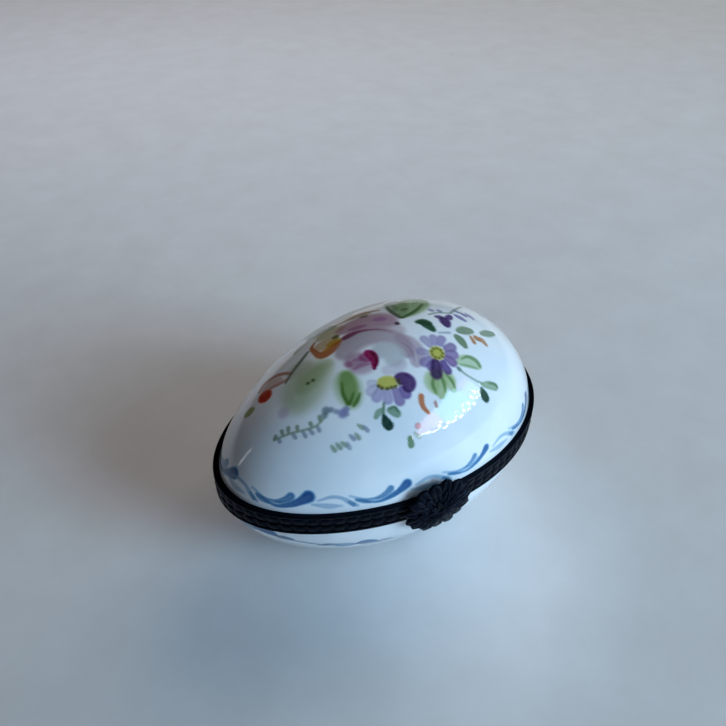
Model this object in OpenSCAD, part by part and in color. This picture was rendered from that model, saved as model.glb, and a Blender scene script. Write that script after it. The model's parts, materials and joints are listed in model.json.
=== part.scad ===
// Egg-shaped porcelain trinket box, lying on its side, with a hinged lid.
// Millimetres. +Z up, +X toward the egg's blunt end, clasp on -Y, hinge on +Y.
// The origin is the middle of the flat foot.

/* [Egg] */
// Length of the porcelain egg
egg_length = 65; // [60:0.5:70]
// Widest diameter of the porcelain egg
egg_width = 43.7; // [41:0.1:46]
// How far the egg's bulk leans to its blunt end
taper = 0.123; // [0.08:0.001:0.16]
// Height that is cut off to make the flat foot
foot_cut = 2.8; // [2:0.1:3]
// Height of the split above the egg's own axis
split_rise = 1.1; // [0.8:0.1:1.4]

/* [Porcelain] */
// Wall of the lid
lid_wall = 2; // [1.8:0.1:2.4]
// Wall of the base
base_wall = 2.8; // [2.4:0.1:2.9]
// Height of the inside floor above the table
floor_height = 4.4; // [3.4:0.1:5]

/* [Mounts] */
// Height of one metal band, rail and beads together
band_height = 2.1; // [2:0.05:2.3]
// Thickness of the plain strip
strip_thick = 0.3; // [0.25:0.05:0.35]
// Cement left between porcelain and strip at the closest
cement_gap = 0.1; // [0.1:0.01:0.15]
// Height of the raised rail along the band's outer edge
rail_height = 0.6; // [0.5:0.05:0.65]
// How far the rail stands out of the strip
rail_out = 0.3; // [0.25:0.05:0.35]
// Thickness of the lip turned in over the cement
lip_thick = 0.2; // [0.1:0.05:0.2]
// Clearance between the lip and the porcelain
lip_gap = 0.02; // [0.01:0.01:0.05]
// Beads in the row round one band
bead_count = 80; // [72:1:88]
// Thickness of the flat rim ring
rim_thick = 0.4; // [0.3:0.05:0.5]
// Inset of the rim ring's inner edge from the egg's outside
rim_inset = 3.1; // [3:0.05:3.3]
// Gap between the closed halves
closing_gap = 0.1; // [0.08:0.01:0.12]

/* [Hinge] */
// Place of the hinge along the egg
hinge_x = 4; // [3:0.5:5]
// Radius of the knuckles
knuckle_r = 1.2; // [1.1:0.05:1.25]
// Radius of the pin
pin_r = 0.6; // [0.55:0.05:0.65]
// Clearance of the lid's knuckles on the pin
pin_clearance = 0.05; // [0.03:0.01:0.08]
// Widest the lid opens
open_angle = 75; // [60:1:80]

/* [Clasp] */
// Place of the clasp along the egg
clasp_x = -3.9; // [-6:0.1:-3]
// Width of the flower
flower_width = 13; // [12:0.5:14]
// Height of the flower
flower_height = 10.8; // [10:0.2:11.4]
// Petals in each layer
petal_count = 15; // [12:1:16]
// Width of the spring tongue
tongue_width = 3.2; // [2.8:0.2:3.6]

/* [Hidden] */
$fn = 48;

porcelain = "white";
cement = "gainsboro";
black_metal = [0.16, 0.17, 0.2];
worn_brass = [0.55, 0.45, 0.25];

axis_z = egg_width / 2 - foot_cut;
split_z = axis_z + split_rise;
strip_out = cement_gap + strip_thick;
rail_face = strip_out + rail_out;
bead_root = strip_out + 0.12;
bead_face = strip_out + 0.42;
seam = closing_gap / 2;
big = 4 * egg_length;

// The egg's profile: a circle leaned towards one end, u runs from -1 to 1
end_flat = -0.019;
end_trim = -0.021;
function lean(u) = 1 + taper * u + end_flat * u * u + end_trim * u * u * u;
function profile(u) = sqrt(max(0, 1 - u * u)) * lean(u);
widest = max([for (i = [-50:50]) profile(i / 50)]);
// Radius of the egg at u, for a surface lying inset under the porcelain's outside
function egg_r(u, inset) = (egg_width / 2 - inset) * profile(u) / widest;
function half_len(inset) = egg_length / 2 - inset;

// Outline of the egg in a level plane: ends where the profile comes down to that height
function end_u(side, height, inset) =
    side * sqrt(1 - pow(height * widest / lean(side) / (egg_width / 2 - inset), 2));
function level_u(t, height, inset) =
    let (low = end_u(-1, height, inset), high = end_u(1, height, inset))
    (low + high) / 2 + (high - low) / 2 * cos(t);
function level_y(u, height, inset) = sqrt(max(0, pow(egg_r(u, inset), 2) - height * height));
// A point of the band's plan outline at angle t, outset from the porcelain
function plan_point(t, outset) =
    let (u = level_u(t, 0, -outset))
    [u * half_len(-outset), (t < 180 ? 1 : -1) * egg_r(u, -outset)];

// Distance along the band's outline, so that beads are evenly spaced
step = 3;
rough = [for (t = [0:step:360]) plan_point(t, strip_out)];
gaps = [for (i = [1:len(rough) - 1]) norm(rough[i] - rough[i - 1])];
function run(i) = i == 0 ? 0 : run(i - 1) + gaps[i - 1];
along = [for (i = [0:len(rough) - 1]) [run(i), i * step]];
outline_length = along[len(along) - 1][0];
steps_per_bead = 4;
bead_steps = bead_count * steps_per_bead;

module plan(outset) {
    polygon([for (t = [0:step:360 - step]) plan_point(t, outset)]);
}

module beaded_plan() {
    polygon([for (i = [0:bead_steps - 1])
        plan_point(lookup(i / bead_steps * outline_length, along),
            bead_root + (bead_face - bead_root) * pow(sin(180 * i / steps_per_bead), 2))]);
}

// A slab of a plan outline between two heights, measured from the split
module slab(outset, low, high) {
    translate([0, 0, split_z + low]) linear_extrude(high - low) plan(outset);
}

module ring(outer, inner, low, high) {
    difference() {
        slab(outer, low, high);
        slab(inner, low - 1, high + 1);
    }
}

module egg(inset) {
    profile_steps = 48;
    translate([0, 0, axis_z]) rotate([0, 90, 0]) rotate_extrude($fn = 240)
        polygon(concat(
            [[0, -half_len(inset)]],
            [for (i = [1:profile_steps - 1])
                let (u = -cos(180 * i / profile_steps))
                [egg_r(u, inset), u * half_len(inset)]],
            [[0, half_len(inset)]]));
}

module level_slice(low, high) {
    translate([-big / 2, -big / 2, low]) cube([big, big, high - low]);
}

// Porcelain ------------------------------------------------------------------------------------

module base_shell() {
    color(porcelain) difference() {
        intersection() {
            egg(0);
            level_slice(0, split_z - seam - rim_thick);
        }
        intersection() {
            egg(base_wall);
            level_slice(floor_height, big);
        }
    }
}

module lid_shell() {
    color(porcelain) difference() {
        intersection() {
            egg(0);
            level_slice(split_z + seam + rim_thick, big);
        }
        egg(lid_wall);
    }
}

// Metal mounts, drawn for the lid and mirrored about the split for the base -----------------------

module for_base() {
    translate([0, 0, 2 * split_z]) mirror([0, 0, 1]) children();
}

module cement_ring() {
    difference() {
        slab(cement_gap, seam + rim_thick, band_height - 0.2);
        egg(0);
    }
}

module rim_ring() {
    ring(cement_gap, -rim_inset, seam, seam + rim_thick);
}

module band() {
    top = band_height + seam;
    union() {
        ring(strip_out, cement_gap, seam, top);
        ring(rail_face, cement_gap + strip_thick / 2, top - rail_height, top);
    }
}

// The strip's free edge is turned in over the cement
module band_lip() {
    slab(cement_gap + strip_thick / 3, band_height + seam - lip_thick, band_height + seam);
}

module bead_wire() {
    difference() {
        translate([0, 0, split_z + seam + 0.05])
            linear_extrude(band_height - rail_height - 0.15)
            difference() {
                beaded_plan();
                plan(strip_out);
            }
        // the hinge and the clasp are soldered straight on the strip
        translate([hinge_x - barrel_half - 0.4, 0, 0]) cube([2 * barrel_half + 0.8, big, big]);
        clasp_place() translate([-tongue_width / 2 - 0.3, -5, -5]) cube([tongue_width + 0.6, 10, 10]);
    }
}

module lid_cement_bed() { color(cement) cement_ring(); }
module lid_rim_ring() { color(black_metal) rim_ring(); }
module lid_band() {
    color(black_metal) union() {
        band();
        difference() {
            band_lip();
            egg(-lip_gap);
        }
    }
}
module lid_bead_wire() { color(black_metal) bead_wire(); }
module base_cement_bed() {
    color(cement) difference() {
        for_base() slab(cement_gap, seam + rim_thick, band_height - 0.2);
        egg(0);
    }
}
module base_rim_ring() { color(black_metal) for_base() rim_ring(); }
module base_band() {
    color(black_metal) union() {
        for_base() band();
        difference() {
            for_base() band_lip();
            egg(-lip_gap);
        }
    }
}
module base_bead_wire() { color(black_metal) for_base() bead_wire(); }

// Hinge ----------------------------------------------------------------------------------------

knuckle_length = 2.3;
knuckle_gap = 0.1;
knuckle_pitch = knuckle_length + knuckle_gap;
barrel_half = 2.5 * knuckle_length + 2 * knuckle_gap;
hinge_reach = knuckle_r + 0.1;
hinge_y = egg_width / 2 + rail_face + hinge_reach;
web_low = 0.15;
web_high = 1;

// The lug's corner meets the base's rail when the lid is fully open
stop_drop = 1.8;
stop_gap_angle = 1.5;
lug_thick = 0.9;
lug_corner = norm([hinge_reach, stop_drop]);
lug_half_angle = asin(lug_thick / 2 / lug_corner);
lug_angle = 180 - atan2(stop_drop, hinge_reach) - open_angle - stop_gap_angle - lug_half_angle;

module at_hinge() { translate([hinge_x, hinge_y, split_z]) children(); }

module along_x(r, length) {
    rotate([0, 90, 0]) cylinder(r = r, h = length, center = true);
}

// place counts knuckles from the middle, side is 1 for the lid and -1 for the base
module knuckle(place, side, bore_r, lug) {
    difference() {
        union() {
            at_hinge() translate([place * knuckle_pitch, 0, 0]) {
                along_x(knuckle_r, knuckle_length);
                translate([-knuckle_length / 2, -hinge_reach - 2, side > 0 ? web_low : -web_high])
                    cube([knuckle_length, hinge_reach + 2, web_high - web_low]);
                if (lug) rotate([-lug_angle, 0, 0])
                    translate([-knuckle_length / 2, 0.8, -lug_thick / 2])
                    cube([knuckle_length, lug_corner * cos(lug_half_angle) - 0.8, lug_thick]);
            }
        }
        slab(strip_out, -5, 5);
        at_hinge() along_x(bore_r, big);
    }
}

module base_knuckle_left() { color(black_metal) knuckle(-2, -1, pin_r, false); }
module base_knuckle_middle() { color(black_metal) knuckle(0, -1, pin_r, false); }
module base_knuckle_right() { color(black_metal) knuckle(2, -1, pin_r, false); }
module lid_knuckle_left() { color(black_metal) knuckle(-1, 1, pin_r + pin_clearance, true); }
module lid_knuckle_right() { color(black_metal) knuckle(1, 1, pin_r + pin_clearance, true); }

module hinge_pin() {
    head_thick = 0.35;
    color(worn_brass) at_hinge() union() {
        along_x(pin_r, 2 * barrel_half + head_thick);
        for (side = [-1, 1])
            translate([side * (barrel_half + head_thick / 2), 0, 0])
            along_x(pin_r + 0.3, head_thick);
    }
}

// Clasp ----------------------------------------------------------------------------------------

// Local frame: x along the band, -y outward from the strip's face, z from the split
clasp_u = clasp_x / half_len(-strip_out);
clasp_y = -egg_r(clasp_u, -strip_out);
clasp_turn = atan(egg_width / 2 * (profile(clasp_u - 0.01) - profile(clasp_u + 0.01))
    / widest / 0.02 / half_len(-strip_out));
tongue_thick = 0.3;
tongue_off = 0.6;
tongue_top = 1.9;
tongue_foot = -2;
catch_r = 0.3;
catch_z = -0.7;
bump_z = -1.5;
rivet_r = 0.55;
petals_back = tongue_off + tongue_thick;
outer_thick = 0.9;
inner_thick = 0.7;

module clasp_place() { translate([clasp_x, clasp_y, split_z]) rotate([0, 0, clasp_turn]) children(); }

// A disc standing on the band, its back at depth out of the strip
module upright(depth, thick) {
    translate([0, -depth, 0]) rotate([90, 0, 0]) linear_extrude(thick) children();
}

module flower_outline(wide, high, turn) {
    notch = 0.07;
    points_per_petal = 8;
    count = petal_count * points_per_petal;
    polygon([for (i = [0:count - 1])
        let (a = 360 * i / count, k = 1 - notch * pow(cos(petal_count / 2 * (a - turn)), 4))
        [wide / 2 * k * cos(a), high / 2 * k * sin(a)]]);
}

module clasp_catch() {
    color(black_metal) difference() {
        clasp_place() translate([0, 0, catch_z]) along_x(catch_r, tongue_width - 0.6);
        slab(strip_out, -5, 5);
    }
}

module clasp_bracket() {
    color(black_metal) difference() {
        clasp_place() translate([-tongue_width / 2, -tongue_off, tongue_top - 0.8])
            cube([tongue_width, tongue_off + 1, 0.8]);
        slab(rail_face, -5, 5);
        slab(strip_out, -5, 5);
    }
}

module clasp_tongue() {
    color(black_metal) clasp_place() difference() {
        union() {
            translate([-tongue_width / 2, -petals_back, tongue_foot])
                cube([tongue_width, tongue_thick, tongue_top - tongue_foot]);
            translate([0, -tongue_off - 0.02, bump_z]) along_x(0.25, tongue_width - 0.8);
        }
        upright(0, 3) circle(r = rivet_r);
    }
}

module clasp_outer_petals() {
    color(black_metal) clasp_place() difference() {
        upright(petals_back, outer_thick) flower_outline(flower_width, flower_height, 0);
        upright(0, 5) circle(r = rivet_r);
    }
}

module clasp_inner_petals() {
    color(black_metal) clasp_place() difference() {
        upright(petals_back + outer_thick, inner_thick)
            flower_outline(flower_width * 0.62, flower_height * 0.62, 15);
        upright(0, 5) circle(r = rivet_r);
    }
}

module clasp_rivet() {
    front = petals_back + outer_thick + inner_thick;
    color(black_metal) clasp_place() union() {
        upright(tongue_off + 0.05, front - tongue_off) circle(r = rivet_r);
        upright(front, 0.45) circle(r = 1.1);
    }
}

base_shell();
base_cement_bed();
base_rim_ring();
base_band();
base_bead_wire();
base_knuckle_left();
base_knuckle_middle();
base_knuckle_right();
hinge_pin();
clasp_catch();
lid_shell();
lid_cement_bed();
lid_rim_ring();
lid_band();
lid_bead_wire();
lid_knuckle_left();
lid_knuckle_right();
clasp_bracket();
clasp_tongue();
clasp_outer_petals();
clasp_inner_petals();
clasp_rivet();
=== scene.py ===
import json
import math
from functools import cache

import bmesh
import bpy
import numpy as np
from mathutils import Matrix, Vector


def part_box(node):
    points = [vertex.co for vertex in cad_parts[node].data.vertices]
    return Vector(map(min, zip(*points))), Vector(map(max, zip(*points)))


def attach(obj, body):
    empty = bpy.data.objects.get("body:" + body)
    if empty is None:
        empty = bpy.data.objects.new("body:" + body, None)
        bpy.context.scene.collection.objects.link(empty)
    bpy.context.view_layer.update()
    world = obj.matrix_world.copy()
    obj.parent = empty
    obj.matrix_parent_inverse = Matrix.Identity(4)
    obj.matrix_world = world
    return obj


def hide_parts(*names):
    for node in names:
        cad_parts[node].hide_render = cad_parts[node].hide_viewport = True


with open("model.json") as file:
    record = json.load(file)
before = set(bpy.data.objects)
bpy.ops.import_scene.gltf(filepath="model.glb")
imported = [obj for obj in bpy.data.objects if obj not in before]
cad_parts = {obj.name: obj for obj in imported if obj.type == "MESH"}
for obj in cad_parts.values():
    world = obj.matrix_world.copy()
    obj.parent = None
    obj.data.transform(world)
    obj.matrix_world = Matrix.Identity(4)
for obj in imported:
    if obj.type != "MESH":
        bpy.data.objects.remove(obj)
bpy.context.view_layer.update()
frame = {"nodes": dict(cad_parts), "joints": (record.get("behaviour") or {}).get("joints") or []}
print("frame loaded:", len(frame["nodes"]), "nodes")

mm = 0.001  # every length below is in millimetres until a mesh is made


def linearColour(hexColour):
    values = [int(hexColour[i:i + 2], 16) / 255 for i in (1, 3, 5)]
    return tuple(v / 12.92 if v <= 0.04045 else ((v + 0.055) / 1.055) ** 2.4 for v in values) + (1,)


def boxMm(node):
    low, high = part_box(node)
    return np.array(low) / mm, np.array(high) / mm


def smoothStep(low, high, value):
    t = np.clip((value - low) / (high - low), 0, 1)
    return t * t * (3 - 2 * t)


def softMax(a, b, radius):
    h = np.clip(radius - np.abs(a - b), 0, None) / radius
    return np.maximum(a, b) + h * h * radius / 4


def circlePoint(radius, degrees):
    return radius * math.cos(math.radians(degrees)), radius * math.sin(math.radians(degrees))


# the egg both shells are cut from, sized by the frame
shellLow, shellHigh = boxMm("base_shell")
lidLow, lidHigh = boxMm("lid_shell")
egg = {
    "length": shellHigh[0] - shellLow[0],
    "width": shellHigh[1] - shellLow[1],
    "taper": 0.123,  # how far the bulk leans to the blunt end
    "endFlat": -0.019,
    "endTrim": -0.021,
    "baseWall": 2.8,
    "lidWall": 2.0,
    "floorHeight": 4.4,
}
axisZ = lidHigh[2] - egg["width"] / 2
splitZ = (boxMm("base_rim_ring")[1][2] + boxMm("lid_rim_ring")[0][2]) / 2


def eggProfile(u):
    lean = 1 + egg["taper"] * u + egg["endFlat"] * u ** 2 + egg["endTrim"] * u ** 3
    return np.sqrt(np.clip(1 - u * u, 0, None)) * lean


widest = eggProfile(np.linspace(-1, 1, 2001)).max()


def eggRadius(x, outset=0.0):
    half = egg["length"] / 2 + outset
    return (egg["width"] / 2 + outset) * eggProfile(np.clip(x / half, -1, 1)) / widest


def onEgg(x, turn, outset=0.0):
    # turn is in degrees about the long axis: 0 is the front, 90 the top
    r = eggRadius(x, outset)
    a = np.radians(turn)
    return np.stack(np.broadcast_arrays(x, -r * np.cos(a), axisZ + r * np.sin(a)), -1)


def runAlong(*axes):
    # distance along a line of points, from its start
    return np.concatenate([[0], np.cumsum(np.sqrt(sum(np.diff(axis) ** 2 for axis in axes)))])


def addMesh(name, points, faces, smooth=True):
    mesh = bpy.data.meshes.new(name)
    mesh.from_pydata((np.asarray(points) * mm).tolist(), [], [list(map(int, f)) for f in faces])
    mesh.validate()
    mesh.polygons.foreach_set("use_smooth", [smooth] * len(mesh.polygons))
    mesh.update()
    piece = bpy.data.objects.new(name, mesh)
    bpy.context.scene.collection.objects.link(piece)
    return piece


def addValue(piece, name, values):
    layer = piece.data.attributes.new(name, "FLOAT", "POINT")
    layer.data.foreach_set("value", np.asarray(values, dtype=np.float32))


def fitPiece(piece, node, body, material):
    piece.data.materials.append(material)
    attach(piece, body)
    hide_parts(node)


def makeFitting(name, parts, node, body, material, crease=0):
    # a closed piece from its parts, creased where its faces meet more sharply than this many degrees
    points, faces, wear = joined(parts)
    piece = addMesh(name, points, faces)
    addValue(piece, "wear", wear)
    work = bmesh.new()
    work.from_mesh(piece.data)
    bmesh.ops.recalc_face_normals(work, faces=work.faces)
    work.to_mesh(piece.data)
    work.free()
    if crease:
        piece.data.set_sharp_from_angle(angle=math.radians(crease))
    fitPiece(piece, node, body, material)


def joined(parts):
    # each part is its points, its faces and how worn each point is
    points, faces, wear = [], [], []
    for p, f, w in parts:
        offset = sum(map(len, points))
        faces += [tuple(v + offset for v in face) for face in f]
        points.append(p)
        wear.append(np.broadcast_to(w, len(p)))
    return np.vstack(points), faces, np.concatenate(wear)


def gridFaces(rows, columns, offset=0, flip=False):
    faces = []
    step = columns + 1
    for i in range(rows):
        for j in range(columns):
            a = offset + i * step + j
            quad = (a, a + 1, a + step + 1, a + step)
            faces.append(quad[::-1] if flip else quad)
    return faces


def gridRing(rows, columns):
    # the points round a grid's edge, in order
    step = columns + 1
    return ([i * step for i in range(rows + 1)] + [rows * step + j for j in range(1, step)]
            + [i * step + columns for i in range(rows - 1, -1, -1)] + list(range(columns - 1, 0, -1)))


def smoothPath(points, count):
    # a Catmull-Rom curve through a few given points
    p = np.asarray(points, float)
    if len(p) == 2:
        t = np.linspace(0, 1, count)[:, None]
        return p[0] * (1 - t) + p[1] * t
    p = np.vstack([2 * p[0] - p[1], p, 2 * p[-1] - p[-2]])
    t = np.linspace(0, len(p) - 3 - 1e-9, count)
    i = t.astype(int)
    f = (t - i)[:, None]
    a, b, c, d = p[i], p[i + 1], p[i + 2], p[i + 3]
    return 0.5 * (2 * b + (c - a) * f + (2 * a - 5 * b + 4 * c - d) * f ** 2
                  + (3 * b - a - 3 * c + d) * f ** 3)


brush = {
    "stations": 28,  # points along one stroke
    "thinnest": 0.2,  # finer lines than this get fainter instead
    "blur": 0.17,
    "hide": 0.85,  # how much of the colour under it a stroke covers
}


class Canvas:
    # enamel is kept as optical density, so thin washes tint the white and overlaps deepen
    def __init__(self, points):
        self.points = points
        self.density = np.zeros((len(points), 3))
        self.cover = np.zeros(len(points))

    def stroke(self, path, widths, hexColour, strength=0.85, soft=0.35, pool=0.25, fade=(1, 1), trim=0.8):
        # widths are half widths along the path; pool leaves more pigment at the stroke's edge,
        # and trim pulls the ends in so that their round caps finish at the path's ends
        count = brush["stations"]
        route = onEgg(*smoothPath(path, count).T)
        half = smoothPath(np.stack([np.asarray(widths, float)] * 2, -1), count)[:, 0]
        run = runAlong(*route.T)
        first, last = trim * half[0], run[-1] - trim * half[-1]
        if last < first:
            first = last = run[-1] / 2
        kept = np.linspace(first, last, count)
        half = np.interp(kept, run, half)
        route = np.stack([np.interp(kept, run, route[:, k]) for k in range(3)], -1)
        reach = np.abs(half).max() * (1 + soft) + 0.2
        low, high = route.min(0) - reach, route.max(0) + reach
        where = np.nonzero(((self.points > low) & (self.points < high)).all(1))[0]
        if not len(where):
            return
        p = self.points[where]
        best = np.full(len(where), 1e9)
        along = np.zeros(len(where))
        faint = np.ones(len(where))
        for k in range(count - 1):
            span = route[k + 1] - route[k]
            t = np.clip((p - route[k]) @ span / max(span @ span, 1e-9), 0, 1)
            gap = np.linalg.norm(p - route[k] - t[:, None] * span, axis=1)
            w = half[k] + (half[k + 1] - half[k]) * t
            thin = np.clip(w / brush["thinnest"], 0.15, 1)
            w = np.maximum(w, brush["thinnest"])
            edge = np.maximum(soft, brush["blur"] / w)
            ratio = 1 + (gap / w - 1) / edge * soft
            closer = ratio < best
            best = np.where(closer, ratio, best)
            along = np.where(closer, (k + t) / (count - 1), along)
            faint = np.where(closer, thin, faint)
        mask = 1 - smoothStep(1 - soft, 1 + soft, best)
        mask *= 1 - pool * (1 - np.clip(best, 0, 1) ** 2)
        mask *= strength * faint * (fade[0] + (fade[1] - fade[0]) * along)
        paint = -np.log(np.maximum(linearColour(hexColour)[:3], 0.002))
        self.density[where] *= (1 - brush["hide"] * mask)[:, None]
        self.density[where] += paint * mask[:, None]
        self.cover[where] = 1 - (1 - self.cover[where]) * (1 - mask)

    def dot(self, x, turn, radius, hexColour, strength=0.9, soft=0.3, pool=0.1):
        nudge = 0.02
        path = [(x, turn), (x + nudge, turn)]
        self.stroke(path, [radius, radius], hexColour, strength, soft, pool, trim=0)


def nearby(x, turn, along, around):
    # a point some millimetres away on the surface: along the egg, and round it towards the top
    nx = x + along
    return nx, turn + math.degrees(around / max(float(eggRadius(nx)), 1))


def petal(canvas, x, turn, angle, start, length, half, hexColour, strength=0.8, pool=0.3):
    path = [nearby(x, turn, *circlePoint(start + length * t, angle)) for t in (0, 0.35, 0.75, 1)]
    canvas.stroke(path, [half * 0.35, half * 0.85, half, half * 0.75], hexColour, strength, 0.3, pool)


def daisy(canvas, x, turn, first, petals):
    # petals: angle from the first one, and colour
    for angle, hexColour in petals:
        petal(canvas, x, turn, first + angle, 0.8, 2.6, 0.9, hexColour, 0.9)
    canvas.dot(x, turn, 1, "#d3c95a", 0.95, 0.25, 0)
    for k in range(7):
        canvas.dot(*nearby(x, turn, *circlePoint(0.85, k * 360 / 7 + 20)), 0.2, "#4c5230", 0.75, 0.4)


def leaf(canvas, x, turn, angle, length, half, light, dark):
    a, c = circlePoint(1, angle)

    def at(d, s):
        return nearby(x, turn, d * length * a - s * half * c, d * length * c + s * half * a)
    canvas.stroke([at(0, 0), at(0.3, 0.1), at(0.7, 0), at(1, 0)],
                  [half * 0.35, half, half * 0.8, half * 0.1], light, 0.85, 0.25, 0.2)
    canvas.stroke([at(0, 0.15), at(0.3, 0.95), at(0.7, 0.75), at(1, 0)],
                  [0.18, 0.3, 0.26, 0.08], dark, 0.7, 0.5, 0)
    canvas.stroke([at(0.02, 0), at(0.5, -0.1), at(0.95, 0)], [0.16, 0.2, 0.06], dark, 0.6, 0.5, 0)


def sprig(canvas, points, half, hexColour, strength=0.8):
    canvas.stroke(points, [half] * len(points), hexColour, strength, 0.5, 0)


def comma(canvas, points, head, hexColour, strength):
    # a brush set down heavily at its head and pulled out to a thin tail
    tail = 0.12
    share = np.linspace(0, 1, len(points))
    widths = head * (1 - share) ** 1.35 + tail * share
    canvas.stroke(points, widths, hexColour, strength, 0.4, 0.25, (1, 0.45), 0)


shell = {
    "rows": 344,  # stations along the egg
    "outerColumns": 258,
    "innerColumns": 24,
    "crowding": 0.18,  # columns lie closer together near the painted front
    "footBlend": 0.8,
    "floorBlend": 3.0,
    "weld": 0.004,  # points closer than this at the egg's tips become one
    "footTop": 0.12,  # the bare part of the foot ends at this height
}


def stationsAlong(outset, height, rows):
    # evenly spaced along the profile between the two places where it comes down to that height
    u = np.sin(np.linspace(-math.pi / 2, math.pi / 2, 6001))
    x = u * (egg["length"] / 2 + outset)
    r = eggRadius(x, outset)
    inside = np.nonzero(r >= abs(height))[0]
    x, r = x[inside[0]:inside[-1] + 1], r[inside[0]:inside[-1] + 1]
    run = runAlong(x, r)
    return np.interp(np.linspace(0, run[-1], rows + 1), run, x)


def shellPatch(outset, cutZ, upper, columns):
    height = cutZ - axisZ
    x = stationsAlong(outset, height if upper else 0.0, shell["rows"])
    r = eggRadius(x, outset)
    edge = np.degrees(np.arcsin(np.clip(height / np.maximum(r, 1e-6), -1, 1)))
    t = np.linspace(0, 1, columns + 1)
    t = t * (1 - shell["crowding"] * (1 - t))
    end = (180 if upper else -180) - edge
    turn = edge[:, None] + (end - edge)[:, None] * t
    return onEgg(np.repeat(x[:, None], columns + 1, 1), turn, outset)


def shellSkin(cutZ, upper, wall):
    # the outside and the inside, joined along the rim; the outside's points come first
    rows, outerColumns, innerColumns = shell["rows"], shell["outerColumns"], shell["innerColumns"]
    outer = shellPatch(0, cutZ, upper, outerColumns)
    inner = shellPatch(-wall, cutZ, upper, innerColumns)
    if not upper:
        outer[..., 2] = np.minimum(softMax(outer[..., 2], 0, shell["footBlend"]), cutZ)
        inner[..., 2] = np.minimum(softMax(inner[..., 2], egg["floorHeight"], shell["floorBlend"]), cutZ)
    points = np.vstack([outer.reshape(-1, 3), inner.reshape(-1, 3)])
    first = outer.shape[0] * outer.shape[1]
    faces = gridFaces(rows, outerColumns, 0, upper) + gridFaces(rows, innerColumns, first, not upper)
    for i in range(rows):
        for column, innerColumn, turned in ((0, 0, True), (outerColumns, innerColumns, False)):
            a = i * (outerColumns + 1) + column
            b = a + outerColumns + 1
            c = first + i * (innerColumns + 1) + innerColumn
            quad = (a, b, c + innerColumns + 1, c)
            faces.append(quad if turned == upper else quad[::-1])
    return points, faces, first


def makeShell(name, cutZ, wall, body, paint):
    points, faces, first = shellSkin(cutZ, body == "lid", wall)
    piece = addMesh(name, points, faces)
    canvas = Canvas(points[:first])
    paint(canvas)
    pigment = np.ones((len(points), 4), np.float32)
    pigment[:first, :3] = np.exp(-canvas.density)
    layer = piece.data.color_attributes.new("pigment", "FLOAT_COLOR", "POINT")
    layer.data.foreach_set("color", pigment.ravel())
    addValue(piece, "cover", np.concatenate([canvas.cover, np.zeros(len(points) - first)]))
    work = bmesh.new()
    work.from_mesh(piece.data)
    bmesh.ops.remove_doubles(work, verts=work.verts, dist=shell["weld"] * mm)
    bmesh.ops.dissolve_degenerate(work, dist=shell["weld"] / 4 * mm, edges=work.edges)
    work.to_mesh(piece.data)
    work.free()
    piece.data.polygons.foreach_set("use_smooth", [True] * len(piece.data.polygons))
    fitPiece(piece, body + "_shell", body, glazedPorcelain())
    return piece


def addNode(tree, kind, settings=None, **links):
    # settings go by property, input name or input number, and stops fill a colour ramp;
    # a link called in6 goes to input 6, and a node given as its source means that node's first output
    node = tree.nodes.new("ShaderNode" + kind)
    for key, value in (settings or {}).items():
        if key == "stops":
            while len(node.color_ramp.elements) < len(value):
                node.color_ramp.elements.new(0.5)
            for element, (position, tone) in zip(node.color_ramp.elements, value):
                element.position = position
                element.color = linearColour(tone) if isinstance(tone, str) else (tone, tone, tone, 1)
        elif isinstance(key, int) or key in node.inputs:
            node.inputs[key].default_value = value
        else:
            setattr(node, key, value)
    for key, source in links.items():
        target = int(key[2:]) if key[2:].isdigit() else key.replace("_", " ")
        tree.links.new(getattr(source, "outputs", [source])[0], node.inputs[target])
    return node


def newMaterial(name):
    # patterns are laid in the piece's own coordinates
    material = bpy.data.materials.new(name)
    material.use_nodes = True
    tree = material.node_tree
    tree.nodes.clear()
    return material, tree, addNode(tree, "TexCoord").outputs["Object"]


def finished(material, settings, **links):
    tree = material.node_tree
    shader = addNode(tree, "BsdfPrincipled", settings, **links)
    addNode(tree, "OutputMaterial", Surface=shader)
    return material


def blotches(sizeMm, detail, roughness=0.5):
    # noise settings for blotches of a given width
    return {"Scale": 1 / (sizeMm * mm), "Detail": detail, "Roughness": roughness}


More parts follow.
